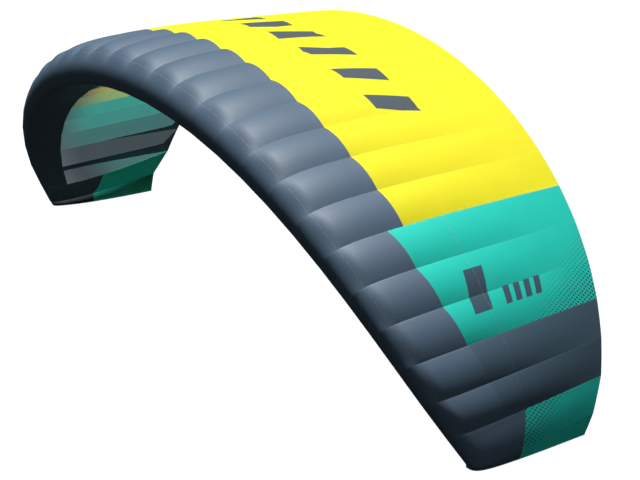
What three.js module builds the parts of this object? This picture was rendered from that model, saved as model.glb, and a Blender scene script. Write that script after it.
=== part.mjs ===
// Foil kite: a single-skin wing of 29 cells that stands as an arch on its two closed tips.
// Millimetres. X runs along the span, the leading edge faces -Y and Z is up.
// Rib 0 closes the tip on +X, rib 29 the tip on -X, and cell n lies between ribs n and n + 1.
import * as THREE from 'three';

// Cells, counted out from the middle one
const CELLS = 29;
const MIDDLE_CELL = 14;
const OUTER = 12;
const CELL_WIDTH = 231;
const CELL_TAPER = 0.245;
const TIP_CELL_WIDTHS = [158.8, 110.7];

// Arch: how far a cell leans from level, in degrees
const LEAN = 54.5;
const LEAN_CURL = 12.8;
const TIP_LEANS = [70, 97.4];

// Plan: where the leading and trailing edges lie, measured back from the middle of the nose
const CHORD = 1612;
const TAIL_SWEEP = 269;
const TAIL_CURL = 61;
const NOSE_SWEEP = 166;
const NOSE_CURL = 171;
const TIP_RIBS = [
  { nose: 408, tail: 1145 },
  { nose: 410, tail: 1185 },
];

// Aerofoil, as shares of the chord
const THICKNESS = 0.1674;
const TIP_THICKNESS = 0.1447;
const ROUNDNESS = 0.3;
const CAMBER = -0.0295;
const CAMBER_AT = 0.35;
const UNDERSIDE = 0.254;
const HINGE = 0.4;
const MIDDLE_PITCH = 2.555;

// Ribs hang below the skin, from the end of the nose skin to a corner and up to the tail
const UNDER_NOSE = 0.168;
const RIB_CORNER = { back: 0.838, down: 0.089 };
const RIB_TAIL = 0.985;
const UNDER_TAIL = 0.995;

// Seams between the nose skin and the cloth behind it, as shares of the chord at a rib
const MIDDLE_SEAM = 0.2956;
const SIDE_SEAM = { start: 0.277, step: -0.0157, rib: 4 };
const TIP_SEAM = [0.37, 0.37, 0.448];

// Pieces, by the ribs that bound them
const MIDDLE_FROM = 7;
const TIP_INNER = 2;
const GREY_INNER = 4;
const LAST_RIB = CELLS;

// Fullness of the cloth between ribs, as a share of the cell's width
const FULLNESS = 0.11;
const TIP_FULLNESS = { top: 0.05, under: 0.1 };
const TAIL_FULLNESS = 0.013;
const FULL_FROM = 0.004;
const FULL_AT = 0.075;
const FADE_FROM = 0.22;
const FADE_CURVE = 1.2;

// Cloth
const SKIN = 2;
const RIB = 1.5;
const CLOSING_RIB = 2;
const GAP = 0.4;
const RIB_INSET = 1.5;

// Steps of the faceted cloth: skins and ribs share them as far back as SHARED
const SPAN_STEPS = 4;
const UNDER_ROWS = 3;
const NOSE_ROWS = 6;
const SEAM_ROWS = 2;
const REAR_ROWS = 6;
const SHARED = 0.18;
const EVENNESS = 2.2;
const STEP = 0.002;

// Standing: the tips' closing ribs lie level when the wing is pitched nose down by this slope
const TIP_SLOPE = 0.1198;
const STANDS_BACK = -794.8;

const NOSE_GREY = { color: 0x55687a, roughness: 0.55, metalness: 0 };
const YELLOW = { color: 0xf8ee2c, roughness: 0.6, metalness: 0 };
const TEAL = { color: 0x2fcfbd, roughness: 0.6, metalness: 0 };
const BAND_GREY = { color: 0x42535f, roughness: 0.6, metalness: 0 };
const TIP_TEAL = { color: 0x0f8f7e, roughness: 0.6, metalness: 0 };
const RIB_CLOTH = { color: 0x4a5a62, roughness: 0.7, metalness: 0 };
const RIB_TEAL = { color: 0x3f7f78, roughness: 0.7, metalness: 0 };
const RIB_YELLOW = { color: 0xa3ab4a, roughness: 0.7, metalness: 0 };

const radians = THREE.MathUtils.degToRad;

// Cells and ribs of the arch

function cellWidth(out) {
  if (out > OUTER) return TIP_CELL_WIDTHS[out - OUTER - 1];
  return CELL_WIDTH * (1 - CELL_TAPER * (out / OUTER) ** 2);
}

function cellLean(out) {
  if (out > OUTER) return radians(TIP_LEANS[out - OUTER - 1]);
  return radians(LEAN) * (out / OUTER) + radians(LEAN_CURL) * (out / OUTER) ** 3;
}

// Half of the arch, from the rib beside the middle cell out to the tip on +X, then its mirror image
function archRibs() {
  const ribs = [];
  let x = cellWidth(0) / 2;
  let z = 0;
  for (let index = MIDDLE_CELL; index >= 0; index -= 1) {
    const out = MIDDLE_CELL - index;
    const inner = cellLean(out);
    const outer = index > 0 ? cellLean(out + 1) : inner;
    const lean = Math.min((inner + outer) / 2, Math.PI / 2);
    ribs[index] = makeRib(index, x, z, lean, 1);
    ribs[LAST_RIB - index] = makeRib(index, x, z, lean, -1);
    if (index > 0) {
      x += cellWidth(out + 1) * Math.cos(outer);
      z -= cellWidth(out + 1) * Math.sin(outer);
    }
  }
  return ribs;
}

function makeRib(index, x, z, lean, side) {
  const out = MIDDLE_CELL + 0.5 - index;
  const u = Math.min(out, OUTER + 0.5) / (OUTER + 0.5);
  let nose = NOSE_SWEEP * u ** 2 + NOSE_CURL * u ** 4;
  let tail = CHORD - TAIL_SWEEP * u ** 2 - TAIL_CURL * u ** 4;
  if (index < TIP_RIBS.length) ({ nose, tail } = TIP_RIBS[index]);
  const share = out / (MIDDLE_CELL + 0.5);
  return {
    x: x * side,
    z,
    up: new THREE.Vector3(Math.sin(lean) * side, 0, Math.cos(lean)),
    nose,
    tail,
    chord: tail - nose,
    thickness: THICKNESS + (TIP_THICKNESS - THICKNESS) * share ** 4,
    pitch: -radians(MIDDLE_PITCH) * (1 - share ** 2),
    slope: index === 0 ? TIP_SLOPE : 0,
  };
}

// Aerofoil: height over the chord line at a share of the chord

function halfThickness(back, thickness) {
  const rounded = 0.2969 * back ** ROUNDNESS;
  const rest = -0.126 * back - 0.3516 * back ** 2 + 0.2843 * back ** 3 - 0.1036 * back ** 4;
  return 5 * thickness * (rounded + rest);
}

function camberLine(back) {
  if (back < CAMBER_AT) return (CAMBER / CAMBER_AT ** 2) * (2 * CAMBER_AT * back - back ** 2);
  const aft = (1 - CAMBER_AT) ** 2;
  return (CAMBER / aft) * (1 - 2 * CAMBER_AT + 2 * CAMBER_AT * back - back ** 2);
}

// A place on the wrap runs from -1, the tail underneath, through 0, the nose, to 1, the tail on top
function wrapAt(back, under = false) {
  const wrap = back ** (1 / EVENNESS);
  return under ? -wrap : wrap;
}

function profilePoint(rib, wrap) {
  const back = Math.abs(wrap) ** EVENNESS;
  const half = halfThickness(back, rib.thickness);
  const height = camberLine(back) + (wrap < 0 ? -UNDERSIDE * half : half);
  return sectionPoint(rib, back, height);
}

// Distance back and height in a rib's own plane, with the rib's pitch turned in
function sectionPoint(rib, back, height) {
  const along = (back - HINGE) * rib.chord;
  const up = height * rib.chord;
  const cos = Math.cos(rib.pitch);
  const sin = Math.sin(rib.pitch);
  const y = rib.nose + HINGE * rib.chord + along * cos + up * sin;
  return new THREE.Vector2(y, up * cos - along * sin);
}

function profileNormal(rib, wrap) {
  const ahead = profilePoint(rib, Math.min(wrap + STEP, 1));
  const behind = profilePoint(rib, Math.max(wrap - STEP, -1));
  const along = ahead.sub(behind).normalize();
  return new THREE.Vector2(-along.y, along.x);
}

// The same point and direction in the wing
function placed(rib, flat) {
  const point = new THREE.Vector3(rib.x, flat.x, rib.z).addScaledVector(rib.up, flat.y);
  point.z += rib.slope * (rib.tail - flat.x);
  return point;
}

function turned(rib, flat) {
  const back = new THREE.Vector3(0, 1, -rib.slope);
  return back.multiplyScalar(flat.x).addScaledVector(rib.up, flat.y).normalize();
}

// Fullness grows from the nose to its most, then fades to the tail. Under the open cells it is taut
function fullness(wrap, out) {
  const back = Math.abs(wrap) ** EVENNESS;
  const most = mostFull(wrap < 0, out);
  if (back < FADE_FROM) return most * THREE.MathUtils.smoothstep(back, FULL_FROM, FULL_AT);
  const fade = ((1 - back) / (1 - FADE_FROM)) ** FADE_CURVE;
  return TAIL_FULLNESS + (most - TAIL_FULLNESS) * fade;
}

function mostFull(under, out) {
  if (out > OUTER) return under ? TIP_FULLNESS.under : TIP_FULLNESS.top;
  return under ? 0 : FULLNESS;
}

// A sheet of cloth over a grid of inner points and the directions that lead out of the wing:
// the faces' diagonals mirror each other about the middle of a cell

function clothGeometry(rows, columns, cornerAt, thickness) {
  const inner = [];
  const outer = [];
  for (let row = 0; row <= rows; row += 1) {
    for (let column = 0; column <= columns; column += 1) {
      const { point, normal } = cornerAt(row, column);
      inner.push(point.x, point.y, point.z);
      outer.push(...point.clone().addScaledVector(normal, thickness).toArray());
    }
  }
  const lift = inner.length / 3;
  const at = (row, column) => row * (columns + 1) + column;
  const faces = [];
  const quad = (a, b, c, d) => faces.push(a, b, c, a, c, d);
  for (let row = 0; row < rows; row += 1) {
    for (let column = 0; column < columns; column += 1) {
      const a = at(row, column);
      const b = at(row, column + 1);
      const c = at(row + 1, column + 1);
      const d = at(row + 1, column);
      const [a2, b2, c2, d2] = [a + lift, b + lift, c + lift, d + lift];
      const firstHalf = column % SPAN_STEPS < SPAN_STEPS / 2;
      if (firstHalf) {
        quad(a, b, c, d);
        quad(a2, d2, c2, b2);
      } else {
        quad(b, c, d, a);
        quad(b2, a2, d2, c2);
      }
    }
  }
  for (let row = 0; row < rows; row += 1) {
    quad(at(row + 1, 0), at(row + 1, 0) + lift, at(row, 0) + lift, at(row, 0));
    quad(at(row, columns), at(row, columns) + lift, at(row + 1, columns) + lift, at(row + 1, columns));
  }
  for (let column = 0; column < columns; column += 1) {
    quad(at(0, column), at(0, column) + lift, at(0, column + 1) + lift, at(0, column + 1));
    quad(at(rows, column + 1), at(rows, column + 1) + lift, at(rows, column) + lift, at(rows, column));
  }
  const geometry = new THREE.BufferGeometry();
  geometry.setAttribute('position', new THREE.Float32BufferAttribute([...inner, ...outer], 3));
  geometry.setIndex(faces);
  if (signedVolume(geometry) < 0) geometry.setIndex(faces.reverse());
  geometry.computeVertexNormals();
  return geometry;
}

function signedVolume(geometry) {
  const corners = geometry.attributes.position;
  const order = geometry.index.array;
  const [a, b, c] = [new THREE.Vector3(), new THREE.Vector3(), new THREE.Vector3()];
  let volume = 0;
  for (let face = 0; face < order.length; face += 3) {
    a.fromBufferAttribute(corners, order[face]);
    b.fromBufferAttribute(corners, order[face + 1]);
    c.fromBufferAttribute(corners, order[face + 2]);
    volume += a.dot(b.cross(c)) / 6;
  }
  return volume;
}

// One piece of skin from rib to rib: wrapsAt lists the places on the wrap at a rib
function skin(name, look, firstRib, lastRib, wrapsAt) {
  const rows = wrapsAt(firstRib).length - 1;
  const columns = (lastRib - firstRib) * SPAN_STEPS;
  const cornerAt = (row, column) => {
    const cell = Math.min(firstRib + Math.floor(column / SPAN_STEPS), lastRib - 1);
    const across = column / SPAN_STEPS - (cell - firstRib);
    const start = column === 0 ? edgeGap(firstRib) : 0;
    const end = column === columns ? edgeGap(lastRib) : 0;
    return skinPoint(cell, across, wrapsAt(cell)[row], wrapsAt(cell + 1)[row], start - end);
  };
  return mesh(name, look, clothGeometry(rows, columns, cornerAt, SKIN));
}

// Neighbouring pieces share a gap at a rib, and a tip's skins stop short of its closing rib
function edgeGap(index) {
  return index === 0 || index === LAST_RIB ? GAP : GAP / 2;
}

function skinPoint(cell, across, nearWrap, farWrap, moved) {
  const [near, far] = [RIBS[cell], RIBS[cell + 1]];
  const start = placed(near, profilePoint(near, nearWrap));
  const end = placed(far, profilePoint(far, farWrap));
  const share = across + moved / start.distanceTo(end);
  const normal = turned(near, profileNormal(near, nearWrap));
  normal.lerp(turned(far, profileNormal(far, farWrap)), share).normalize();
  const out = Math.abs(cell - MIDDLE_CELL);
  const full = fullness(THREE.MathUtils.lerp(nearWrap, farWrap, share), out);
  const bulge = full * cellWidth(out) * 4 * share * (1 - share);
  return { point: start.lerp(end, share).addScaledVector(normal, bulge), normal };
}

function mesh(name, look, geometry) {
  const made = new THREE.Mesh(geometry, new THREE.MeshStandardMaterial(look));
  made.name = name;
  return made;
}

// Where the nose skin ends at a rib, for the cells of one kind of piece
function seamOf(kind, index) {
  const near = Math.min(index, LAST_RIB - index);
  if (kind === 'middle') return MIDDLE_SEAM;
  if (kind === 'tip') return TIP_SEAM[near];
  return SIDE_SEAM.start + SIDE_SEAM.step * (near - SIDE_SEAM.rib);
}

function spread(from, to, steps) {
  return Array.from({ length: steps }, (_, step) => from + ((to - from) * step) / steps);
}

function topOfNose(end) {
  return [...spread(0, wrapAt(SHARED), NOSE_ROWS), ...spread(wrapAt(SHARED), end, SEAM_ROWS)];
}

function underNose(kind, end) {
  const start = wrapAt(UNDER_NOSE, true);
  const shared = spread(start, 0, UNDER_ROWS);
  return kind === 'tip' ? [...spread(end, start, UNDER_ROWS), ...shared] : shared;
}

// Nose skins wrap from under the nose, round it and up to the seam
function noseSkin(name, kind, firstRib, lastRib) {
  return skin(name, NOSE_GREY, firstRib, lastRib, (index) => {
    const seam = seamOf(kind, index) - GAP / 2 / RIBS[index].chord;
    return [...underNose(kind, wrapAt(seam, true)), ...topOfNose(wrapAt(seam)), wrapAt(seam)];
  });
}

// Rear panels run from the seam to the tail, on top or underneath
function rearPanel(name, look, kind, firstRib, lastRib, under = false) {
  return skin(name, look, firstRib, lastRib, (index) => {
    const start = wrapAt(seamOf(kind, index) + GAP / 2 / RIBS[index].chord, under);
    const end = under ? wrapAt(UNDER_TAIL, true) : 1;
    return [...spread(start, end, REAR_ROWS), end];
  });
}

// Ribs are flat sheets cut to the aerofoil, a little inside the skin

function ribWraps(kind, index, end) {
  const seam = wrapAt(seamOf(kind, index));
  return [...topOfNose(seam), ...spread(seam, end, REAR_ROWS), end];
}

function closedWraps(kind, index, end) {
  const seam = wrapAt(seamOf(kind, index), true);
  return [...spread(-end, seam, REAR_ROWS), ...underNose('tip', seam), ...ribWraps(kind, index, end)];
}

function ribOutline(rib, index, closed) {
  const inset = (wrap) => {
    return profilePoint(rib, wrap).addScaledVector(profileNormal(rib, wrap), -RIB_INSET);
  };
  const end = wrapAt(RIB_TAIL);
  if (closed) return new THREE.Shape(closedWraps('tip', index, end).map(inset));
  const near = Math.min(index, LAST_RIB - index);
  const kind = near < MIDDLE_FROM ? 'side' : 'middle';
  const points = [...underNose(kind, 0), ...ribWraps(kind, index, end)].map(inset);
  const left = (1 - RIB_TAIL) / (1 - RIB_CORNER.back);
  points.push(sectionPoint(rib, RIB_TAIL, -RIB_CORNER.down * left));
  points.push(sectionPoint(rib, RIB_CORNER.back, -RIB_CORNER.down));
  return new THREE.Shape(points);
}

function ribMesh(name, look, index) {
  const rib = RIBS[index];
  const closed = index === TIP_INNER || index === LAST_RIB - TIP_INNER;
  const options = { depth: RIB, bevelEnabled: false };
  const geometry = new THREE.ExtrudeGeometry(ribOutline(rib, index, closed), options);
  geometry.translate(0, 0, -RIB / 2);
  const made = mesh(name, look, geometry);
  const back = new THREE.Vector3(0, 1, 0);
  const basis = new THREE.Matrix4().makeBasis(back, rib.up, back.clone().cross(rib.up));
  made.quaternion.setFromRotationMatrix(basis);
  made.position.set(rib.x, 0, rib.z);
  return made;
}

// The closing rib of a tip lies across the ends of the tip's skins, flush with their outsides
function closingRib(name, index) {
  const rib = RIBS[index];
  const tilt = Math.atan(TIP_SLOPE);
  const flat = (wrap) => {
    const point = profilePoint(rib, wrap).addScaledVector(profileNormal(rib, wrap), SKIN);
    return new THREE.Vector2((point.x - rib.tail) / Math.cos(tilt), point.y);
  };
  const outline = new THREE.Shape(closedWraps('tip', index, 1).map(flat));
  const options = { depth: CLOSING_RIB, bevelEnabled: false };
  const geometry = new THREE.ExtrudeGeometry(outline, options);
  if (index !== 0) geometry.translate(0, 0, -CLOSING_RIB);
  const made = mesh(name, BAND_GREY, geometry);
  const back = new THREE.Vector3(0, Math.cos(tilt), -Math.sin(tilt));
  const basis = new THREE.Matrix4().makeBasis(back, rib.up, back.clone().cross(rib.up));
  made.quaternion.setFromRotationMatrix(basis);
  made.position.set(rib.x, rib.tail, rib.z);
  return made;
}

// Assembly

const RIBS = archRibs();
const wing = new THREE.Group();
const mirror = (index) => LAST_RIB - index;
const two = (index) => String(index).padStart(2, '0');

wing.add(noseSkin('nose_middle', 'middle', MIDDLE_FROM, mirror(MIDDLE_FROM)));
wing.add(noseSkin('nose_right', 'side', TIP_INNER, MIDDLE_FROM));
wing.add(noseSkin('nose_left', 'side', mirror(MIDDLE_FROM), mirror(TIP_INNER)));
wing.add(noseSkin('nose_tip_right', 'tip', 0, TIP_INNER));
wing.add(noseSkin('nose_tip_left', 'tip', mirror(TIP_INNER), LAST_RIB));

for (let cell = GREY_INNER; cell < mirror(GREY_INNER); cell += 1) {
  const yellow = cell >= MIDDLE_FROM && cell < mirror(MIDDLE_FROM);
  const kind = yellow ? 'middle' : 'side';
  wing.add(rearPanel(`panel_${two(cell)}`, yellow ? YELLOW : TEAL, kind, cell, cell + 1));
}
wing.add(rearPanel('panel_grey_right', BAND_GREY, 'side', TIP_INNER, GREY_INNER));
wing.add(rearPanel('panel_grey_left', BAND_GREY, 'side', mirror(GREY_INNER), mirror(TIP_INNER)));
wing.add(rearPanel('tip_top_right', TIP_TEAL, 'tip', 0, TIP_INNER));
wing.add(rearPanel('tip_top_left', TIP_TEAL, 'tip', mirror(TIP_INNER), LAST_RIB));
wing.add(rearPanel('tip_under_right', TIP_TEAL, 'tip', 0, TIP_INNER, true));
wing.add(rearPanel('tip_under_left', TIP_TEAL, 'tip', mirror(TIP_INNER), LAST_RIB, true));

for (let index = TIP_INNER; index <= mirror(TIP_INNER); index += 1) {
  const near = Math.min(index, mirror(index));
  const look = near < GREY_INNER ? RIB_CLOTH : near < MIDDLE_FROM ? RIB_TEAL : RIB_YELLOW;
  wing.add(ribMesh(`rib_${two(index)}`, look, index));
}
wing.add(closingRib('closing_rib_right', 0));
wing.add(closingRib('closing_rib_left', LAST_RIB));

// The wing stands with the undersides of both closing ribs on the ground
const tilt = Math.atan(TIP_SLOPE);
const tail = new THREE.Vector3(RIBS[0].x, RIBS[0].tail, RIBS[0].z);
tail.applyAxisAngle(new THREE.Vector3(1, 0, 0), tilt);
wing.rotation.x = tilt;
wing.position.set(0, STANDS_BACK, CLOSING_RIB - tail.z);

const kite = new THREE.Group();
kite.add(wing);
export default kite;
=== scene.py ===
"""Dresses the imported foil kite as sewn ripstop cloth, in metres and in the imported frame."""

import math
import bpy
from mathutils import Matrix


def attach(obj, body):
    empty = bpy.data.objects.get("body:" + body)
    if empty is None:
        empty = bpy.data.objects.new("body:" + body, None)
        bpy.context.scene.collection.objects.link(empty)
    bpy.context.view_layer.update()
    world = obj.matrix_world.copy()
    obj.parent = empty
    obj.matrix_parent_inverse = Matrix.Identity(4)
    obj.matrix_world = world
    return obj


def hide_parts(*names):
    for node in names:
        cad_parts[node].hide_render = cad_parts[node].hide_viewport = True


bl_info = {
    "name": "Foil kite",
    "version": (1, 0, 0),
    "blender": (4, 5, 0),
    "location": "3D View > Sidebar > Kite",
    "description": "Dresses a packed foil kite in sewn ripstop cloth",
    "category": "Object",
}

import bpy
import numpy as np
from bpy.props import FloatProperty, FloatVectorProperty, PointerProperty
from mathutils import Matrix, Vector

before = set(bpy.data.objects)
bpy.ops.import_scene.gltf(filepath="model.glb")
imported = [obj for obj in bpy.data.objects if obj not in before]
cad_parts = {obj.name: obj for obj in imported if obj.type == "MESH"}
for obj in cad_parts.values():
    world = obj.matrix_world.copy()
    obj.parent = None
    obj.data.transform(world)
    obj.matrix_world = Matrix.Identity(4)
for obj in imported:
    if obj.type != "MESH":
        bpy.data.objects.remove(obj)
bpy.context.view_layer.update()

# The wing. Rib 0 closes the tip on +X, and cell n lies between ribs n and n + 1. The numbers are
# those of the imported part, but for the nose of rib 0, which stands 13 mm further back here.
CELLS = 29
MIDDLE_CELL = 14
OUTER = 12
CELL_WIDTH = 0.231
CELL_TAPER = 0.245
TIP_CELL_WIDTHS = (0.1588, 0.1107)
LEAN = 54.5
LEAN_CURL = 12.8
TIP_LEANS = (70, 97.4)
CHORD = 1.612
TAIL_SWEEP = 0.269
TAIL_CURL = 0.061
NOSE_SWEEP = 0.166
NOSE_CURL = 0.171
TIP_NOSES = (0.421, 0.410)
TIP_TAILS = (1.145, 1.185)
THICKNESS = 0.1674
TIP_THICKNESS = 0.1447
ROUNDNESS = 0.3
NOSE_CURVE = 0.2969
BODY_CURVE = (-0.126, -0.3516, 0.2843, -0.1036)
CAMBER = -0.0295
CAMBER_AT = 0.35
UNDERSIDE = 0.254
HINGE = 0.4
MIDDLE_PITCH = 2.555
UNDER_NOSE = 0.168
CORNER_BACK = 0.838
CORNER_DOWN = 0.089
RIB_TAIL = 0.985
UNDER_TAIL = 0.995
MIDDLE_SEAM = 0.2956
SIDE_SEAM = 0.277
SIDE_SEAM_STEP = -0.0157
TIP_SEAM = (0.37, 0.37, 0.448)
MIDDLE_FROM = 7
TIP_INNER = 2
GREY_INNER = 4
LAST_RIB = CELLS
FULLNESS = 0.11
TIP_FULLNESS = {"top": 0.05, "under": 0.1}
TAIL_FULLNESS = 0.013
FULL_FROM = 0.004
FULL_AT = 0.075
FADE_FROM = 0.22
FADE_CURVE = 1.2
SKIN = 0.002
CLOSING_RIB = 0.002
GAP = 0.0001
RIB_INSET = 0.0015
CLOTH_LIFT = 0.0003
CLOSING_LIFT = 0.0002
EVENNESS = 2.2
STEP = 0.002
TIP_SLOPE = 0.1198
STANDS_BACK = -0.7948
UNEVENNESS = 0.03
HEM_REACH = 1.01

# Rows and columns of the fine cloth, and the hems and waves of its ribs
CELL_COLUMNS = 14
NOSE_ROWS = 54
UNDER_ROWS = 22
REAR_ROWS = 40
RIB_ROWS = 60
RIB_COLUMNS = 8
FLOOR_CORNERS = 64
LENGTH_STEPS = 1000
NOSE_EASE = 1.515
RIB_EASE = 3
RIB_FIRST = 0.02
RIB_HEM_MOST = 0.2
RIB_FOLD = 0.15
RIB_WAVES = 9
RIB_WAVE_SHIFT = 1.7
RIB_WAVE_HEIGHT = 0.12

# Seams and prints: rows of stitches as shares of the hem, seams as shares of the chord
STITCH_ROWS = (0.35, 0.8)
DASH_PITCH = 0.055
NOSE_DASHES = 0.04
REAR_DASHES = 0.45
DOT_STEPS = ((0.0105, -0.0143), (0.0189, 0.0070))
DOT_SIZE = 0.0056
DOT_LOSS = 0.0003
RELIEF = 0.00005
INK = 0.96
# Black of the painted shade under the last cell of each tip
SHADE_BLACK = (0.0, 0.0, 0.0)
PALE = (0.9, 0.95, 1.0)

# How rough the cloth is, and the share of light that comes through each kind
ROUGHNESS = 0.6
NOSE_THROUGH = 0.004
REAR_THROUGH = 0.35
BAND_THROUGH = 0.12
TIP_THROUGH = 0.05
RIB_THROUGH = 0.25
CLOSING_THROUGH = 0.1

# The camera and the lamps: where they stand, and which way they face
CAMERA_PLACE = (7.676, -4.905, 3.569)
CAMERA_YAW, CAMERA_PITCH, CAMERA_ROLL = 0.964, 0.333, 0.0444
OVERHEAD = (-0.19, -0.1, 1)
SIDE = (0.6, -0.35, 0.8)
SIDE_SOFTNESS = 10
SKY_COLOUR = (0.86, 0.95, 1.0)
FLOOR_COLOURS = ((0.83, 0.84, 0.85), (0.86, 0.87, 0.88))
FLOOR_GLOW = 0.7


def smooth(low, high, x):
    t = np.clip((x - low) / (high - low), 0, 1)
    return t * t * (3 - 2 * t)


def linear(code):
    """A colour written as six hex digits, as the renderer's linear numbers."""
    parts = [int(code[i : i + 2], 16) / 255 for i in (0, 2, 4)]
    return tuple(p / 12.92 if p <= 0.04045 else ((p + 0.055) / 1.055) ** 2.4 for p in parts)


# Ribs of the arch


def cell_width(out):
    if out > OUTER:
        return TIP_CELL_WIDTHS[out - OUTER - 1]
    return CELL_WIDTH * (1 - CELL_TAPER * (out / OUTER) ** 2)


def cell_lean(out):
    if out > OUTER:
        return math.radians(TIP_LEANS[out - OUTER - 1])
    return math.radians(LEAN) * (out / OUTER) + math.radians(LEAN_CURL) * (out / OUTER) ** 3


class Rib:
    """One rib: where it stands, how it leans and the aerofoil that it is cut to."""

    def __init__(self, near, x, z, lean, side):
        out = MIDDLE_CELL + 0.5 - near
        u = min(out, OUTER + 0.5) / (OUTER + 0.5)
        share = out / (MIDDLE_CELL + 0.5)
        self.near = near
        self.nose = NOSE_SWEEP * u**2 + NOSE_CURL * u**4
        self.tail = CHORD - TAIL_SWEEP * u**2 - TAIL_CURL * u**4
        if near < len(TIP_NOSES):
            self.nose, self.tail = TIP_NOSES[near], TIP_TAILS[near]
        self.chord = self.tail - self.nose
        self.thickness = THICKNESS + (TIP_THICKNESS - THICKNESS) * share**4
        self.pitch = -math.radians(MIDDLE_PITCH) * (1 - share**2)
        self.slope = TIP_SLOPE if near == 0 else 0
        self.foot = np.array([x * side, 0, z])
        self.up = np.array([math.sin(lean) * side, 0, math.cos(lean)])
        self.side = side

    def section(self, back, height):
        """Distances back and up in the rib's plane, from shares of its chord."""
        along, up = (back - HINGE) * self.chord, height * self.chord
        cos, sin = math.cos(self.pitch), math.sin(self.pitch)
        y = self.nose + HINGE * self.chord + along * cos + up * sin
        return np.stack([y, up * cos - along * sin], -1)

    def profile(self, wrap):
        """The aerofoil, from the tail underneath at -1, round the nose at 0, to the tail at 1.

        It is the usual four-digit thickness curve, with a rounder nose.
        """
        back = np.abs(wrap) ** EVENNESS
        body = sum(share * back**power for power, share in enumerate(BODY_CURVE, 1))
        half = 5 * self.thickness * (NOSE_CURVE * back**ROUNDNESS + body)
        fore = CAMBER / CAMBER_AT**2 * (2 * CAMBER_AT * back - back**2)
        aft = 1 - 2 * CAMBER_AT + 2 * CAMBER_AT * back - back**2
        camber = np.where(back < CAMBER_AT, fore, CAMBER / (1 - CAMBER_AT) ** 2 * aft)
        return self.section(back, camber + np.where(wrap < 0, -UNDERSIDE * half, half))

    def normal(self, wrap):
        ahead = self.profile(np.minimum(wrap + STEP, 1))
        along = ahead - self.profile(np.maximum(wrap - STEP, -1))
        along /= np.linalg.norm(along, axis=-1, keepdims=True)
        return np.stack([-along[..., 1], along[..., 0]], -1)

    def placed(self, flat):
        point = self.foot + flat[..., 1:] * self.up
        point[..., 1] = flat[..., 0]
        point[..., 2] += self.slope * (self.tail - flat[..., 0])
        return point

    def turned(self, flat):
        back = np.array([0, 1, -self.slope])
        made = flat[..., :1] * back + flat[..., 1:] * self.up
        return made / np.linalg.norm(made, axis=-1, keepdims=True)

    def length_at(self, wrap):
        """Metres of cloth from the nose to a place on the wrap, negative underneath."""
        wraps = np.linspace(-1, 1, 2 * LENGTH_STEPS + 1)
        steps = np.linalg.norm(np.diff(self.profile(wraps), axis=0), axis=1)
        lengths = np.concatenate([[0], np.cumsum(steps)])
        return np.interp(wrap, wraps, lengths - lengths[LENGTH_STEPS])


def arch_ribs():
    ribs = [None] * (CELLS + 1)
    x, z = cell_width(0) / 2, 0.0
    for near in range(MIDDLE_CELL, -1, -1):
        out = MIDDLE_CELL - near
        inner = cell_lean(out)
        outer = cell_lean(out + 1) if near else inner
        lean = min((inner + outer) / 2, math.pi / 2)
        for index, side in ((near, 1), (LAST_RIB - near, -1)):
            ribs[index] = Rib(near, x, z, lean, side)
        if near:
            x += cell_width(out + 1) * math.cos(outer)
            z -= cell_width(out + 1) * math.sin(outer)
    return ribs


RIBS = arch_ribs()
TILT = math.atan(TIP_SLOPE)
LIFT = CLOSING_RIB - RIBS[0].tail * math.sin(TILT) - RIBS[0].foot[2] * math.cos(TILT)
WIDTHS = [cell_width(abs(cell - MIDDLE_CELL)) for cell in range(CELLS)]
SPAN_AT = np.concatenate([[0], np.cumsum(WIDTHS)]) - sum(WIDTHS) / 2
UNEVEN = 1 + UNEVENNESS * np.random.default_rng(5).uniform(-1, 1, CELLS)


def standing(points):
    """Points of the wing, pitched so that the tips lie flat on the ground."""
    x, y, z = points[..., 0], points[..., 1], points[..., 2]
    cos, sin = math.cos(TILT), math.sin(TILT)
    return np.stack([x, y * cos - z * sin + STANDS_BACK, y * sin + z * cos + LIFT], -1)


def wrap_at(back, under=False):
    wrap = back ** (1 / EVENNESS)
    return -wrap if under else wrap


def back_at(wrap):
    return np.sign(wrap) * np.abs(wrap) ** EVENNESS


def fullness(wrap, out):
    """How far a cell billows halfway between its ribs, as a share of its width."""
    back = np.abs(wrap) ** EVENNESS
    if out > OUTER:
        most = np.where(wrap < 0, TIP_FULLNESS["under"], TIP_FULLNESS["top"])
    else:
        most = np.where(wrap < 0, 0, FULLNESS)
    fore = most * smooth(FULL_FROM, FULL_AT, back)
    fade = np.clip((1 - back) / (1 - FADE_FROM), 0, 1) ** FADE_CURVE
    return np.where(back < FADE_FROM, fore, TAIL_FULLNESS + (most - TAIL_FULLNESS) * fade)


def seam_of(kind, index):
    near = min(index, LAST_RIB - index)
    if kind == "middle":
        return MIDDLE_SEAM
    if kind == "tip":
        return TIP_SEAM[near]
    return SIDE_SEAM + SIDE_SEAM_STEP * (near - GREY_INNER)


# Sheets of cloth


def with_hems(low, high, steps, hem, step):
    """Evenly spaced values from low to high, with a hem and its fold at each end."""
    fold = hem + step
    middle = np.linspace(low + fold, high - fold, steps + 1)
    return np.concatenate([[low, low + hem], middle, [high - hem, high]])


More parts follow.
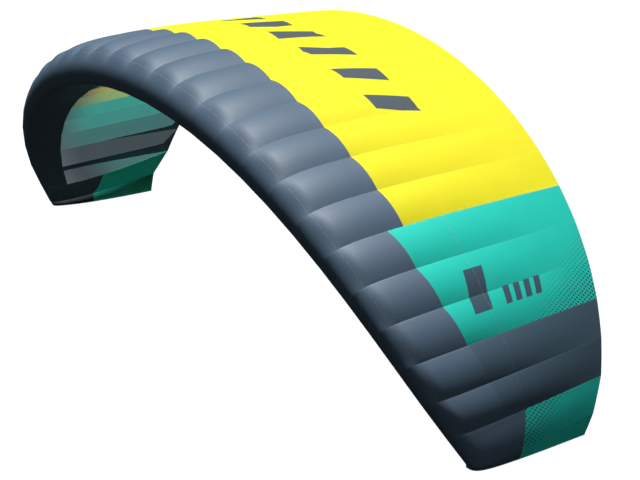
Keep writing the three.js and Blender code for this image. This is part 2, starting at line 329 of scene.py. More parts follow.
def nose_wraps(kind, index, cloth):
    """Rows of a nose skin at a rib, close together where the nose is sharply curved."""
    rib = RIBS[index]
    seam = seam_of(kind, index) - GAP / 2 / rib.chord
    low = wrap_at(seam if kind == "tip" else UNDER_NOSE, under=True)
    high = wrap_at(seam)
    ease = 1 / NOSE_EASE
    under = -np.linspace((-low) ** ease, 0, UNDER_ROWS + 1) ** NOSE_EASE
    top = np.linspace(0, high**ease, NOSE_ROWS + 1) ** NOSE_EASE
    wraps = np.concatenate([under[:-1], top])
    lengths = rib.length_at(wraps)
    hem, fold = cloth.hem, cloth.hem + cloth.fold
    table = np.linspace(low, high, 4 * LENGTH_STEPS + 1)
    at = rib.length_at(table)
    ends = [lengths[0] + hem, lengths[0] + fold, lengths[-1] - fold, lengths[-1] - hem]
    wraps[1], wraps[2], wraps[-3], wraps[-2] = np.interp(ends, at, table)
    return np.sort(wraps)


def rear_wraps(kind, index, cloth, under=False):
    """Rows of a rear panel at a rib, from the nose seam to the tail."""
    rib = RIBS[index]
    start = seam_of(kind, index) + GAP / 2 / rib.chord
    end = UNDER_TAIL if under else 1
    hem, fold = cloth.hem / rib.chord, cloth.fold / rib.chord
    backs = with_hems(start, end, REAR_ROWS, hem, fold)
    return wrap_at(backs, under)


def skin_grid(first, last, wraps_at, cloth):
    """The inner face of a piece of skin from rib to rib, its outward directions and its maps."""
    points, normals, wing, sewn, seams = [], [], [], [], []
    for cell in range(first, last):
        near, far = RIBS[cell], RIBS[cell + 1]
        near_wraps, far_wraps = wraps_at(cell), wraps_at(cell + 1)
        start = near.placed(near.profile(near_wraps))[:, None]
        end = far.placed(far.profile(far_wraps))[:, None]
        gap = np.linalg.norm(end - start, axis=-1)
        hem, fold = cloth.hem / WIDTHS[cell], cloth.fold / WIDTHS[cell]
        across = with_hems(0, 1, CELL_COLUMNS, hem, fold)[None]
        moved = np.zeros_like(across)
        if cell == first:
            moved[0, 0] = edge_gap(first)
        else:
            across, moved = across[:, 1:], moved[:, 1:]
        if cell == last - 1:
            moved[0, -1] = -edge_gap(last)
        share = across + moved / gap
        normal = near.turned(near.normal(near_wraps))[:, None] * (1 - share[..., None])
        normal = normal + far.turned(far.normal(far_wraps))[:, None] * share[..., None]
        normal /= np.linalg.norm(normal, axis=-1, keepdims=True)
        wrap = near_wraps[:, None] * (1 - share) + far_wraps[:, None] * share
        full = fullness(wrap, abs(cell - MIDDLE_CELL)) * cloth.fullness
        full = full * WIDTHS[cell] * UNEVEN[cell]
        bulge = full * 4 * share * (1 - share)
        points.append(start + (end - start) * share[..., None] + normal * bulge[..., None])
        normals.append(normal)
        near_along, far_along = near.length_at(near_wraps), far.length_at(far_wraps)
        along = near_along[:, None] * (1 - share) + far_along[:, None] * share
        back = back_at(near_wraps)[:, None] * (1 - share) + back_at(far_wraps)[:, None] * share
        wing.append(np.stack([cell + share, back], -1))
        sewn.append(np.stack([SPAN_AT[cell] + share * WIDTHS[cell], along], -1))
        from_rib = np.minimum(share, 1 - share) * gap
        seams.append(np.stack([from_rib, np.minimum(along - along[:1], along[-1:] - along)], -1))
    join = [np.concatenate(part, 1) for part in (points, normals, wing, sewn, seams)]
    grid = dict(zip(("points", "normals", "wing", "sewn", "seams"), join))
    grid["ribs"] = (CELL_COLUMNS + 4) * np.arange(1, last - first)
    return grid


def edge_gap(index):
    """How far a skin stops short of a rib, so that it doesn't touch the next one."""
    return GAP if index in (0, LAST_RIB) else GAP / 2


def rib_grid(index, cloth):
    """A rib's sheet, from its free lower edge up to the skin."""
    rib = RIBS[index]
    closed = index in (TIP_INNER, LAST_RIB - TIP_INNER)
    ease = np.linspace(RIB_FIRST, RIB_TAIL ** (1 / RIB_EASE), RIB_ROWS + 1) ** RIB_EASE
    top = inset(rib, wrap_at(ease), RIB_INSET)
    under = inset(rib, wrap_at(ease, under=True), RIB_INSET)
    if not closed:
        corner = rib.section(np.array([CORNER_BACK]), np.array([-CORNER_DOWN]))[0]
        left = (1 - RIB_TAIL) / (1 - CORNER_BACK)
        tail = rib.section(np.array([RIB_TAIL]), np.array([-CORNER_DOWN * left]))[0]
        start = inset(rib, np.array([wrap_at(UNDER_NOSE, under=True)]), RIB_INSET)[0]
        knots = np.stack([start, corner, tail])
        free = np.stack([top[:, 0], np.interp(top[:, 0], knots[:, 0], knots[:, 1])], -1)
        under = np.where((ease > UNDER_NOSE)[:, None], free, under)
    height = np.linalg.norm(top - under, axis=-1)
    hem = np.minimum(cloth.hem / height, RIB_HEM_MOST)[:, None]
    columns = np.linspace(0, 1, RIB_COLUMNS + 1)[None]
    share = np.concatenate([hem * 0, hem, hem + (1 - 2 * hem) * columns, 1 - hem, hem * 0 + 1], 1)
    share[:, 2] += RIB_FOLD * hem[:, 0]
    share[:, -3] -= RIB_FOLD * hem[:, 0]
    flat = under[:, None] + (top - under)[:, None] * share[..., None]
    across = np.cross([0.0, 1.0, 0.0], rib.up)
    waves = np.sin(RIB_WAVES * math.pi * ease + RIB_WAVE_SHIFT * index)
    wave = np.sin(math.pi * share) * waves[:, None]
    depth = np.minimum(height, RIB_WAVE_HEIGHT)[:, None] * cloth.slack * wave
    points = rib.placed(flat) + depth[..., None] * across
    normals = np.broadcast_to(across, points.shape)
    back = np.broadcast_to(ease[:, None], share.shape)
    wing = np.stack([np.full_like(share, index), back], -1)
    from_top = (1 - share) * height[:, None]
    seams = np.stack([from_top, share * height[:, None]], -1)
    return {"points": points, "normals": normals, "wing": wing, "sewn": flat, "seams": seams}


def inset(rib, wraps, depth):
    """The rib's outline, moved in from the skin by a depth."""
    return rib.profile(wraps) - rib.normal(wraps) * depth


def closing_grid(index):
    """The flat rib under a tip, on the ground."""
    rib = RIBS[index]
    ease = np.linspace(RIB_FIRST, 1, RIB_ROWS + 1) ** RIB_EASE
    top = inset(rib, wrap_at(ease), -SKIN)
    under = inset(rib, wrap_at(ease, under=True), -SKIN)
    share = np.linspace(0, 1, RIB_COLUMNS + 5)[None] + 0 * ease[:, None]
    flat = under[:, None] + (top - under)[:, None] * share[..., None]
    height = np.linalg.norm(top - under, axis=-1)[:, None]
    down = np.array([0, -math.sin(TILT), -math.cos(TILT)])
    points = rib.placed(flat) + CLOSING_RIB * down
    back = np.broadcast_to(ease[:, None], share.shape)
    wing = np.stack([np.full_like(share, index), back], -1)
    edge = np.minimum(share, 1 - share) * height
    seams = np.stack([edge, edge + 1], -1)
    normals = np.broadcast_to(-down, points.shape)
    return {"points": points, "normals": normals, "wing": wing, "sewn": flat, "seams": seams}


def cloth_piece(name, grid, lift, thickness, material, hem=0.0, rise=0.0):
    """A closed thin sheet over a grid. Its outer face stands up by rise within hem of a seam."""
    hems = np.where(grid["seams"].min(-1) < hem * HEM_REACH, rise, 0.0)
    inner = standing(grid["points"] + grid["normals"] * lift)
    outer = standing(grid["points"] + grid["normals"] * (lift + thickness + hems[..., None]))
    rows, columns = inner.shape[:2]
    count = rows * columns
    at = np.arange(count).reshape(rows, columns)
    a, b, c, d = at[:-1, :-1], at[:-1, 1:], at[1:, 1:], at[1:, :-1]
    face = np.stack([a, b, c, d], -1).reshape(-1, 4)
    ring = np.concatenate([at[0, :-1], at[:-1, -1], at[-1, :0:-1], at[:0:-1, 0]])
    after = np.roll(ring, -1)
    rim = np.stack([after, ring, ring + count, after + count], -1)
    faces = np.concatenate([face, face[:, ::-1] + count, rim])
    points = np.concatenate([inner.reshape(-1, 3), outer.reshape(-1, 3)])
    if volume(points, faces) < 0:
        faces = faces[:, ::-1]
    mesh = bpy.data.meshes.new(name)
    mesh.from_pydata(points.tolist(), [], faces.tolist())
    mesh.polygons.foreach_set("use_smooth", np.arange(len(faces)) < 2 * len(face))
    ends = np.empty(2 * len(mesh.edges), np.int32)
    mesh.edges.foreach_get("vertices", ends)
    row, column = np.divmod(ends.reshape(-1, 2) % count, columns)
    along_rib = (column[:, 0] == column[:, 1]) & np.isin(column[:, 0], grid.get("ribs", []))
    border = (row % (rows - 1) == 0) | (column % (columns - 1) == 0)
    mesh.edges.foreach_set("use_edge_sharp", along_rib | border.all(1))
    corners = np.empty(len(mesh.loops), np.int32)
    mesh.loops.foreach_get("vertex_index", corners)
    for key in ("wing", "sewn", "seams"):
        values = np.concatenate([grid[key].reshape(-1, 2)] * 2)[corners]
        layer = mesh.uv_layers.new(name=key)
        layer.uv.foreach_set("vector", values.astype(np.float32).ravel())
    mesh.materials.append(material)
    mesh.update()
    piece = bpy.data.objects.new(name, mesh)
    bpy.context.scene.collection.objects.link(piece)
    return piece, measured(outer)


def volume(points, faces):
    a, b, c, d = (points[faces[:, k]] for k in range(4))
    return ((a * np.cross(b, c)).sum() + (a * np.cross(c, d)).sum()) / 6


def measured(points):
    """The cut of a sheet: its greatest width and length, and its area."""
    across = np.linalg.norm(np.diff(points, axis=1), axis=-1).sum(1).max()
    along = np.linalg.norm(np.diff(points, axis=0), axis=-1).sum(0).max()
    facets = np.cross(points[1:, 1:] - points[:-1, :-1], points[1:, :-1] - points[:-1, 1:])
    area = np.linalg.norm(facets, axis=-1).sum() / 2
    return float(across), float(along), float(min(area, across * along))


def fitted(piece, node):
    """Hands a finished piece to the frame: parents it to the root and hides the imported part that
    it stands for.
    """
    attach(piece, "root")
    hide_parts(node)


# Materials


class Field:
    """A value that changes over the cloth. Python's operators add the nodes that work it out."""

    def __init__(self, recipe, socket):
        self.recipe, self.socket = recipe, socket

    def __add__(self, other):
        return self.recipe.maths("ADD", self, other)

    def __radd__(self, other):
        return self.recipe.maths("ADD", other, self)

    def __sub__(self, other):
        return self.recipe.maths("SUBTRACT", self, other)

    def __rsub__(self, other):
        return self.recipe.maths("SUBTRACT", other, self)

    def __mul__(self, other):
        return self.recipe.maths("MULTIPLY", self, other)

    def __rmul__(self, other):
        return self.recipe.maths("MULTIPLY", other, self)

    def __truediv__(self, other):
        return self.recipe.maths("DIVIDE", self, other)

    def __abs__(self):
        return self.recipe.maths("ABSOLUTE", self)


class Recipe:
    """A material in the making."""

    def __init__(self, name):
        self.material = bpy.data.materials.new(name)
        self.material.use_nodes = True
        self.tree = self.material.node_tree
        self.tree.nodes.clear()

    def node(self, kind, settings=None, values=None, output=0):
        made = self.tree.nodes.new(kind)
        for name, value in (settings or {}).items():
            setattr(made, name, value)
        for name, value in (values or {}).items():
            if isinstance(value, Field):
                self.tree.links.new(value.socket, made.inputs[name])
            else:
                made.inputs[name].default_value = value
        return Field(self, made.outputs[output])

    def maths(self, operation, *values):
        numbered = dict(enumerate(values))
        return self.node("ShaderNodeMath", {"operation": operation}, numbered)

    def fract(self, value):
        return self.maths("FRACT", value)

    def least(self, a, b):
        return self.maths("MINIMUM", a, b)

    def most(self, a, b):
        return self.maths("MAXIMUM", a, b)

    def rise(self, value, low, high):
        """0 below low and 1 above high, with a smooth step between."""
        settings = {"interpolation_type": "SMOOTHSTEP"}
        return self.node("ShaderNodeMapRange", settings, {0: value, 1: low, 2: high})

    def band(self, value, centre, half, soft):
        """1 on a line of the given half width, fading over soft."""
        return 1 - self.rise(abs(value - centre), half, half + soft)

    def mixed(self, first, second, share):
        settings = {"data_type": "RGBA"}
        colours = {k: v if isinstance(v, Field) else (*v, 1) for k, v in ((6, first), (7, second))}
        return self.node("ShaderNodeMix", settings, {0: share, **colours}, 2)

    def map(self, name):
        """The two values of a piece's map."""
        found = self.node("ShaderNodeUVMap", {"uv_map": name})
        return [self.node("ShaderNodeSeparateXYZ", None, {0: found}, axis) for axis in (0, 1)]

    def noise(self, scale, detail):
        place = self.node("ShaderNodeTexCoord", output=3)
        values = {"Vector": place, "Scale": scale, "Detail": detail}
        return self.node("ShaderNodeTexNoise", None, values)

    def finish(self, shader):
        out = self.tree.nodes.new("ShaderNodeOutputMaterial")
        self.tree.links.new(shader.socket, out.inputs["Surface"])
        return self.material


class Ripstop(Recipe):
    """Coated nylon with a grid of thick threads, sewn along the ribs and seams."""

    def __init__(self, name, cloth):
        super().__init__(name)
        self.cloth = cloth
        self.cell, self.back = self.map("wing")
        self.across, self.along = self.map("sewn")
        self.from_rib, self.from_edge = self.map("seams")

    def grid(self):
        """1 on the thick threads of the ripstop grid."""
        threads = []
        for place in (self.across, self.along):
            beside = abs(self.fract(place / self.cloth.pitch) - 0.5)
            threads.append(self.rise(beside, 0.38, 0.47))
        return self.most(*threads)

    def stitches(self, distance, along, row):
        """1 on a row of stitches at a distance from a seam."""
        length = self.cloth.stitch
        gap = abs(self.fract(along / length) - 0.5)
        return self.band(distance, row, 0.0004, 0.0003) * self.rise(0.5 - gap, 0.1, 0.16)

    def sewing(self):
        """1 on the thread of the rows beside the ribs and the cut edges."""
        rows = []
        for share in STITCH_ROWS:
            row = self.cloth.hem * share
            beside_rib = self.stitches(self.from_rib, self.along, row)
            beside_edge = self.stitches(self.from_edge, self.across, row)
            rows.append(self.most(beside_rib, beside_edge))
        return self.most(*rows)

    def dashed_seam(self, back, half, soft):
        """1 on a seam along the span, and 1 on the dashes of its thread."""
        seam = self.band(self.back, back, half, soft)
        dash = self.rise(abs(self.fract(self.across / DASH_PITCH) - 0.5), 0.1, 0.16)
        return seam, seam * dash

    def pucker(self):
        """Small gathers where the stitches pull at the cloth."""
        near = 1 - self.rise(self.least(self.from_rib, self.from_edge), 0.004, 0.035)
        return near * self.noise(42.0, 1.0)

    def shaded(self, base, roughness, through, extra=None, gloss=0.5, gathers=0.0008):
        """The cloth's shader, from its base colour and the share of light that comes through.

        Extra is relief in metres beside the weave, and gathers is the depth of those by a seam.
        """
        weave = self.grid()
        thread = self.sewing()
        fine = self.noise(9.0, 3.0)
        tone = self.mixed(base, PALE, thread * 0.06)
        tone = self.node(
            "ShaderNodeHueSaturation",
            None,
            {"Color": tone, "Value": 0.965 + 0.05 * fine + 0.03 * weave},
        )
        relief = RELIEF * weave + RELIEF * thread + gathers * self.pucker()
        if extra is not None:
            relief = relief + extra
        bump = self.node(
            "ShaderNodeBump", None, {"Strength": 1.0, "Distance": 1.0, "Height": relief}
        )
        rough = roughness + 0.08 * (fine - 0.5)
        cover = self.node(
            "ShaderNodeBsdfPrincipled",
            None,
            {
                "Base Color": tone,
                "Roughness": rough,
                "Specular IOR Level": gloss,
                "Normal": bump,
            },
        )
        glow = self.node("ShaderNodeBsdfTranslucent", None, {"Color": tone, "Normal": bump})
        both = self.node("ShaderNodeMixShader", None, {0: through, 1: cover, 2: glow})
        return self.finish(both)

    def mirrored_cell(self):
        """The cell's place counted in from the nearer tip."""
        return CELLS / 2 - abs(self.cell - CELLS / 2)

    def painted_tip_shade(self):
        """1 underneath the last cell of a tip, where shade is painted into the colour, since the
        light through the cloth casts no shadow there.
        """
        under = 1 - self.rise(self.back, -0.03, 0.0)
        return under * (1 - self.rise(self.mirrored_cell(), 0.94, 1.06))

    def dots(self, cover):
        """Round printed dots on a slanted grid, which grow as cover goes from 0 to 1."""
        first, second = DOT_STEPS
        area = first[0] * second[1] - second[0] * first[1]
        one = self.along * (second[1] / area) - self.across * (second[0] / area)
        two = self.across * (first[0] / area) - self.along * (first[1] / area)
        one, two = self.fract(one) - 0.5, self.fract(two) - 0.5
        x, y = one * first[0] + two * second[0], one * first[1] + two * second[1]
        apart = self.maths("SQRT", x * x + y * y)
        size = DOT_SIZE * self.maths("SQRT", self.most(cover, 0.0)) - DOT_LOSS
        return self.rise(size - apart, -0.0004, 0.0004)

    def inside(self, value, low, high, soft):
        """1 between low and high."""
        return self.rise(value, low, low + soft) * (1 - self.rise(value, high - soft, high))

    def bars(self, place, low, high, period, share):
        """1 on even bars from low to high, each a share of the period wide."""
        bar = self.inside(self.fract((place - low) / period), 0.0, share, 0.012)
        return bar * self.inside(place, low, high, 0.01 * period)


def nose_material(name, colour, cloth, colours):
    made = Ripstop(name, cloth)
    seam, dashes = made.dashed_seam(NOSE_DASHES, 0.0006, 0.0005)
    base = made.mixed(colour, colours.thread[:3], 0.14 * dashes)
    shade = made.painted_tip_shade()
    # Painted shade: the nose cloth under the last cell of each tip is darkened towards black.
    base = made.mixed(base, SHADE_BLACK, 0.8 * shade)
    rough = ROUGHNESS + 0.36 * shade
    return made.shaded(base, rough, NOSE_THROUGH, -0.0004 * seam, gloss=0.9)


def yellow_material(name, colour, cloth, colours):
    made = Ripstop(name, cloth)
    slant = made.cell + 2.2 * (made.back - 0.6)
    bars = made.bars(slant, low=10.0, high=18.75, period=1.25, share=0.432)
    shape = bars * made.inside(made.back, low=0.515, high=0.668, soft=0.003)
    base = made.mixed(colour, colours.print[:3], INK * shape)
    return made.shaded(base, ROUGHNESS, REAR_THROUGH)


def teal_material(name, colour, cloth, colours):
    made = Ripstop(name, cloth)
    cell = made.mirrored_cell()
    seam, dashes = made.dashed_seam(REAR_DASHES, 0.0008, 0.0006)
    cover = made.rise(made.back - 0.235 * (cell - 4), 0.48, 0.98)
    slant = made.back - 0.037 * (cell - 4.6)
    large = made.inside(slant, low=0.368, high=0.458, soft=0.002)
    large = large * made.inside(made.cell, low=4.58, high=5.62, soft=0.01)
    small = made.bars(slant, low=0.53, high=0.74, period=0.0525, share=0.6)
    small = small * made.inside(made.cell, low=4.58, high=5.02, soft=0.01)
    base = made.mixed(colour, colours.dots[:3], made.dots(cover))
    base = made.mixed(base, colours.print[:3], INK * made.most(large, small))
    base = made.mixed(base, colours.thread[:3], 0.35 * dashes)
    return made.shaded(base, ROUGHNESS, REAR_THROUGH, -0.0005 * seam)


def band_material(name, colour, cloth, colours):
    made = Ripstop(name, cloth)
    seam, dashes = made.dashed_seam(REAR_DASHES, 0.0008, 0.0006)
    base = made.mixed(colour, colours.thread[:3], 0.22 * dashes)
    return made.shaded(base, ROUGHNESS, BAND_THROUGH, -0.0005 * seam)


def tip_material(name, colour, cloth, colours):
    made = Ripstop(name, cloth)
    cell = made.mirrored_cell()
    cover = 0.8 - 0.8 * made.rise(made.back - 0.2 * cell, 0.14, 0.46)
    upper = made.rise(made.back, 0.0, 0.01)
    base = made.mixed(colour, colours.dots[:3], made.dots(cover * upper))
    # Painted shade: the underside of the tip's last cell is darkened towards black, most towards
    # the cell's inner rib.
    base = made.mixed(base, SHADE_BLACK, (0.6 * cell + 0.08) * made.painted_tip_shade())
    return made.shaded(base, ROUGHNESS, TIP_THROUGH)


def rib_material(name, colour, cloth, colours):
    """Thin cloth whose colour is painted light: the tint of the cells around it, slate at the
    front.
    """
    made = Ripstop(name, cloth)
    near = made.mirrored_cell()
    # Painted light: the ribs take the tint of the light coming through the yellow, teal and slate
    # cells beside them. The innermost tip ribs take some teal at the rear.
    yellow = made.rise(near, MIDDLE_FROM - 1, MIDDLE_FROM + 1)
    teal = made.rise(near, 2.6, 6.2)
    tip = 0.35 * made.rise(2.5 - near, -0.1, 0.1) * made.rise(made.back, 0.3, 0.7)
    rear = made.mixed(colours.rib_grey[:3], colours.rib_teal[:3], made.most(teal, tip))
    rear = made.mixed(rear, colours.rib_yellow[:3], yellow)
    # Painted light: slate at the front, the tint of the light that comes through the slate nose.
    front = made.mixed(rear, colours.rib_nose[:3], 1 - made.rise(made.back, 0.1, 0.36))
    return made.shaded(front, ROUGHNESS + 0.1, RIB_THROUGH, gathers=0.0004)


def plain_material(name, colour, cloth, colours):
    return Ripstop(name, cloth).shaded(colour, ROUGHNESS - 0.05, CLOSING_THROUGH)


MATERIALS = {
    "nose_grey": ("slate nose ripstop", nose_material),
    "yellow": ("yellow ripstop", yellow_material),
    "teal": ("teal ripstop with printed dots", teal_material),
    "band_grey": ("slate band ripstop", band_material),
    "tip_teal": ("deep teal tip ripstop with printed dots", tip_material),
    "rib_grey": ("thin rib cloth", rib_material),
    "rib_teal": ("thin rib cloth", rib_material),
    "rib_yellow": ("thin rib cloth", rib_material),
    "closing_grey": ("slate closing rib cloth", plain_material),
}


def material_for(slot, scene):
    name, make = MATERIALS[slot]
    found = bpy.data.materials.get(name)
    if found:
        return found
    colours = scene.kite_colours
    return make(name, getattr(colours, slot)[:3], scene.kite_cloth, colours)


# Sizes and colours that a user may change


def colour(name, description, code):
    return FloatVectorProperty(
        name=name,
        description=description,
        default=linear(code),
        size=3,
        min=0,
        max=1,
        subtype="COLOR",
    )


def length(name, description, metres):
    return FloatProperty(
        name=name, description=description, default=metres, min=0, unit="LENGTH", precision=4
    )


class KiteCloth(bpy.types.PropertyGroup):
    thickness: length("Thickness", "Thickness of the skin's sheets", 0.0004)
    rib_thickness: length("Rib thickness", "Thickness of the ribs' sheets", 0.0004)
    hem: length("Seam width", "Width of the folded cloth beside a seam", 0.007)
    fold: length("Fold", "Width of the step at the edge of a seam's fold", 0.002)
    rise: length("Seam height", "How far the folded cloth stands up", 0.00005)
    pitch: length("Grid", "Distance between the thick threads of the ripstop", 0.005)
    stitch: length("Stitch", "Length of a stitch and its gap", 0.0042)
    fullness: FloatProperty(
        name="Fullness",
        description="How full the cells are, as a share of the packed shape",
        default=1.0,
        min=0.5,
        max=1.2,
        subtype="FACTOR",
    )
    slack: FloatProperty(
        name="Rib slack",
        description="Depth of the waves in a rib, as a share of its height",
        default=0.015,
        min=0,
        max=0.05,
        subtype="FACTOR",
    )


class KiteColours(bpy.types.PropertyGroup):
    nose_grey: colour("Nose", "Slate of the nose skin", "4B6379")
    yellow: colour("Middle", "Yellow of the middle panels", "F7F033")
    teal: colour("Shoulders", "Teal of the shoulder panels", "30DFD0")
    band_grey: colour("Band", "Slate of the band beside the tips", "4E6778")
    tip_teal: colour("Tips", "Teal of the tips", "28DCCC")
    # The rib colours are painted light: each is the tint of the light that comes through the cells
    # beside those ribs.
    rib_grey: colour("Band ribs", "Slate of the ribs in the band", "343F49")
    rib_teal: colour("Shoulder ribs", "Teal of the shoulder ribs", "48B2AC")
    rib_yellow: colour("Middle ribs", "Yellow of the middle ribs", "DADA90")
    closing_grey: colour("Closing ribs", "Slate of the ribs under the tips", "42535F")
    # Painted light: the slate tint of the light that comes through the nose onto the fronts of the
    # ribs.
    rib_nose: colour("Front of the ribs", "Slate of the ribs at the nose", "58646E")
    thread: colour("Thread", "Pale thread of the seams", "C9C6CC")
    dots: colour("Dots", "Slate of the printed dots", "33303F")
    print: colour("Bars", "Slate of the printed bars", "55657A")


class KiteStage(bpy.types.PropertyGroup):
    floor: length("Floor", "Radius of the floor", 80.0)
    key: FloatProperty(name="Key light", description="Strength of the overhead light", default=1.1)
    fill: FloatProperty(
        name="Fill light", description="Strength of the soft side light", default=0.3
    )
    veil: FloatProperty(
        name="Light through cloth",
        description="Strength of the overhead light that the thin cloth lets through",
        default=3.1,
    )
    key_size: FloatProperty(
        name="Key size",
        description="How wide the overhead light looks from the kite",
        default=math.radians(6),
        subtype="ANGLE",
        unit="ROTATION",
    )
    sky: FloatProperty(name="Sky", description="Brightness of the sky overhead", default=0.06)
    ground: FloatProperty(name="Ground", description="Brightness from below", default=0.032)
    lens: FloatProperty(
        name="Lens", description="Focal length of the camera", default=96.75, unit="CAMERA"
    )


# Operators


class KiteOperator(bpy.types.Operator):
    bl_options = {"REGISTER", "UNDO"}

    def skin(self, scene, name, node, slot, first, last, wraps_at):
        cloth = scene.kite_cloth
        grid = skin_grid(first, last, wraps_at, cloth)
        piece, cut = cloth_piece(
            name,
            grid,
            CLOTH_LIFT,
            cloth.thickness,
            material_for(slot, scene),
            cloth.hem,
            cloth.rise,
        )
        fitted(piece, node)


class KITE_OT_camera(bpy.types.Operator):
    """Set up the camera at the photograph's angle"""

    bl_idname = "kite.camera"
    bl_label = "Camera"

    def execute(self, context):
        place = Vector(CAMERA_PLACE)
        yaw, pitch, roll = CAMERA_YAW, CAMERA_PITCH, CAMERA_ROLL
        forward = Vector(
            (-math.sin(yaw) * math.cos(pitch), math.cos(yaw) * math.cos(pitch), -math.sin(pitch))
        )
        level = Vector((math.cos(yaw), math.sin(yaw), 0))
        above = level.cross(forward)
        right = math.cos(roll) * level + math.sin(roll) * above
        up = -math.sin(roll) * level + math.cos(roll) * above
        data = bpy.data.cameras.new("camera")
        data.sensor_width = 36
        data.lens = context.scene.kite_stage.lens
        data.clip_start, data.clip_end = 0.1, 300
        camera = bpy.data.objects.new("camera", data)
        context.scene.collection.objects.link(camera)
        turn = Matrix((right, up, -forward)).transposed()
        camera.matrix_world = Matrix.Translation(place) @ turn.to_4x4()
        context.scene.camera = camera
        return {"FINISHED"}


class KITE_OT_ribs(KiteOperator):
    """Cut the ribs and hang them under the skin"""

    bl_idname = "kite.ribs"
    bl_label = "Ribs"

    def execute(self, context):
        scene = context.scene
        cloth = scene.kite_cloth
        for index in range(TIP_INNER, LAST_RIB - TIP_INNER + 1):
            near = min(index, LAST_RIB - index)
            outer = "rib_grey" if near < GREY_INNER else "rib_teal"
            slot = outer if near < MIDDLE_FROM else "rib_yellow"
            grid = rib_grid(index, cloth)
            piece, cut = cloth_piece(
                f"rib_cloth_{index:02d}",
                grid,
                -cloth.rib_thickness / 2,
                cloth.rib_thickness,
                material_for(slot, scene),
                cloth.hem,
                cloth.rise / 2,
            )
            fitted(piece, f"rib_{index:02d}")
        return {"FINISHED"}


class KITE_OT_nose(KiteOperator):
    """Sew the nose skins round the fronts of the ribs"""

    bl_idname = "kite.nose"
    bl_label = "Nose skins"

    def execute(self, context):
        cloth = context.scene.kite_cloth
        inner, outer = MIDDLE_FROM, TIP_INNER
        for side, kind, first, last in (
            ("middle", "middle", inner, LAST_RIB - inner),
            ("right", "side", outer, inner),
            ("left", "side", LAST_RIB - inner, LAST_RIB - outer),
            ("tip_right", "tip", 0, outer),
            ("tip_left", "tip", LAST_RIB - outer, LAST_RIB),
        ):
            self.skin(
                context.scene,
                f"nose_cloth_{side}",
                f"nose_{side}",
                "nose_grey",
                first,
                last,
                lambda index: nose_wraps(kind, index, cloth),
            )
        return {"FINISHED"}


class KITE_OT_panels(KiteOperator):
    """Sew the rear panels, cell by cell"""

    bl_idname = "kite.panels"
    bl_label = "Rear panels"

    def execute(self, context):
        cloth = context.scene.kite_cloth
        middle = range(MIDDLE_FROM, LAST_RIB - MIDDLE_FROM)
        pieces = [
            (f"{cell:02d}", "yellow" if cell in middle else "teal", cell, cell + 1)
            for cell in range(GREY_INNER, LAST_RIB - GREY_INNER)
        ]
        pieces.append(("grey_right", "band_grey", TIP_INNER, GREY_INNER))
        pieces.append(("grey_left", "band_grey", LAST_RIB - GREY_INNER, LAST_RIB - TIP_INNER))
        for mark, slot, first, last in pieces:
            kind = "middle" if slot == "yellow" else "side"
            self.skin(
                context.scene,
                f"panel_cloth_{mark}",
                f"panel_{mark}",
                slot,
                first,
                last,
                lambda index: rear_wraps(kind, index, cloth),
            )
        return {"FINISHED"}


class KITE_OT_tips(KiteOperator):
    """Sew the closed tips, on top and underneath"""

    bl_idname = "kite.tips"
    bl_label = "Tips"

    def execute(self, context):
        cloth = context.scene.kite_cloth
        for face, under in (("top", False), ("under", True)):
            for side, first in (("right", 0), ("left", LAST_RIB - TIP_INNER)):
                self.skin(
                    context.scene,
                    f"tip_cloth_{face}_{side}",
                    f"tip_{face}_{side}",
                    "tip_teal",
                    first,
                    first + TIP_INNER,
                    lambda index: rear_wraps("tip", index, cloth, under),
                )
        return {"FINISHED"}


class KITE_OT_closing_ribs(KiteOperator):
    """Close the tips with the ribs that the kite stands on"""

    bl_idname = "kite.closing_ribs"
    bl_label = "Closing ribs"

    def execute(self, context):
        scene = context.scene
        for side, index in (("right", 0), ("left", LAST_RIB)):
            grid = closing_grid(index)
            piece, cut = cloth_piece(
                f"closing_cloth_{side}",
                grid,
                0.0,
                CLOSING_RIB - CLOSING_LIFT,
                material_for("closing_grey", scene),
            )
            fitted(piece, f"closing_rib_{side}")
        return {"FINISHED"}


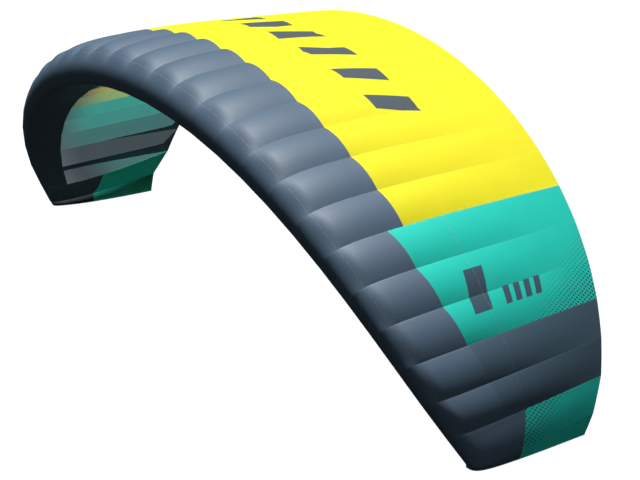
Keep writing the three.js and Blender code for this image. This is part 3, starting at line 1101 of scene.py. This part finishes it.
class KITE_OT_stage(bpy.types.Operator):
    """Lay a plain pale floor and light it softly from above"""

    bl_idname = "kite.stage"
    bl_label = "Floor and light"

    def execute(self, context):
        scene = context.scene
        stage = scene.kite_stage
        mesh = bpy.data.meshes.new("floor")
        turns = [2 * math.pi * k / FLOOR_CORNERS for k in range(FLOOR_CORNERS)]
        ring = [(stage.floor * math.cos(t), stage.floor * math.sin(t), 0) for t in turns]
        mesh.from_pydata(ring, [], [list(range(FLOOR_CORNERS))])
        recipe = Recipe("pale floor")
        tone = recipe.mixed(*FLOOR_COLOURS, recipe.noise(1.5, 3.0))
        matt = recipe.node(
            "ShaderNodeBsdfPrincipled",
            None,
            {"Base Color": tone, "Roughness": 0.9, "Specular IOR Level": 0.1},
        )
        glow = recipe.node("ShaderNodeEmission", None, {"Color": tone, "Strength": 1.25})
        both = recipe.node("ShaderNodeMixShader", None, {0: FLOOR_GLOW, 1: matt, 2: glow})
        mesh.materials.append(recipe.finish(both))
        floor = bpy.data.objects.new("floor", mesh)
        scene.collection.objects.link(floor)
        floor.visible_diffuse = False
        floor.visible_glossy = False
        floor.visible_transmission = False

        for name, strength, place, size, shadow in (
            ("overhead light", stage.key, OVERHEAD, stage.key_size, True),
            ("light through cloth", stage.veil, OVERHEAD, stage.key_size, False),
            ("side light", stage.fill, SIDE, SIDE_SOFTNESS * stage.key_size, True),
        ):
            light = bpy.data.lights.new(name, "SUN")
            light.energy = strength
            light.angle = size
            light.use_shadow = shadow
            lamp = bpy.data.objects.new(name, light)
            lamp.rotation_mode = "QUATERNION"
            lamp.rotation_quaternion = Vector(place).to_track_quat("Z", "Y")
            scene.collection.objects.link(lamp)

        world = bpy.data.worlds.new("studio")
        scene.world = world
        world.use_nodes = True
        tree = world.node_tree
        tree.nodes.clear()
        place = tree.nodes.new("ShaderNodeTexCoord")
        parts = tree.nodes.new("ShaderNodeSeparateXYZ")
        fade = tree.nodes.new("ShaderNodeMapRange")
        fade.interpolation_type = "SMOOTHSTEP"
        back = tree.nodes.new("ShaderNodeBackground")
        out = tree.nodes.new("ShaderNodeOutputWorld")
        tree.links.new(place.outputs["Generated"], parts.inputs[0])
        tree.links.new(parts.outputs["Z"], fade.inputs[0])
        fade.inputs[1].default_value, fade.inputs[2].default_value = -0.2, 0.9
        fade.inputs[3].default_value, fade.inputs[4].default_value = stage.ground, stage.sky
        tree.links.new(fade.outputs[0], back.inputs["Strength"])
        back.inputs["Color"].default_value = (*SKY_COLOUR, 1)
        tree.links.new(back.outputs[0], out.inputs["Surface"])
        scene.view_settings.view_transform = "Standard"
        return {"FINISHED"}


class KITE_PT_sidebar(bpy.types.Panel):
    """Lists the kite's pieces and its sizes and colours"""

    bl_idname = "KITE_PT_sidebar"
    bl_label = "Foil kite"
    bl_space_type = "VIEW_3D"
    bl_region_type = "UI"
    bl_category = "Kite"

    def draw(self, context):
        for step in STEPS:
            self.layout.operator(step.bl_idname)
        for name, group in GROUPS.items():
            box = self.layout.box()
            for key in group.__annotations__:
                box.prop(getattr(context.scene, name), key)


GROUPS = {"kite_cloth": KiteCloth, "kite_colours": KiteColours, "kite_stage": KiteStage}
STEPS = (
    KITE_OT_camera,
    KITE_OT_ribs,
    KITE_OT_nose,
    KITE_OT_panels,
    KITE_OT_tips,
    KITE_OT_closing_ribs,
    KITE_OT_stage,
)
CLASSES = (*GROUPS.values(), *STEPS, KITE_PT_sidebar)


def register():
    for made in CLASSES:
        bpy.utils.register_class(made)
    for name, group in GROUPS.items():
        setattr(bpy.types.Scene, name, PointerProperty(type=group))


def unregister():
    for name in GROUPS:
        delattr(bpy.types.Scene, name)
    for made in reversed(CLASSES):
        bpy.utils.unregister_class(made)


def main():
    register()
    for step in STEPS:
        kind, name = step.bl_idname.split(".")
        getattr(getattr(bpy.ops, kind), name)()


if __name__ == "__main__":
    main()
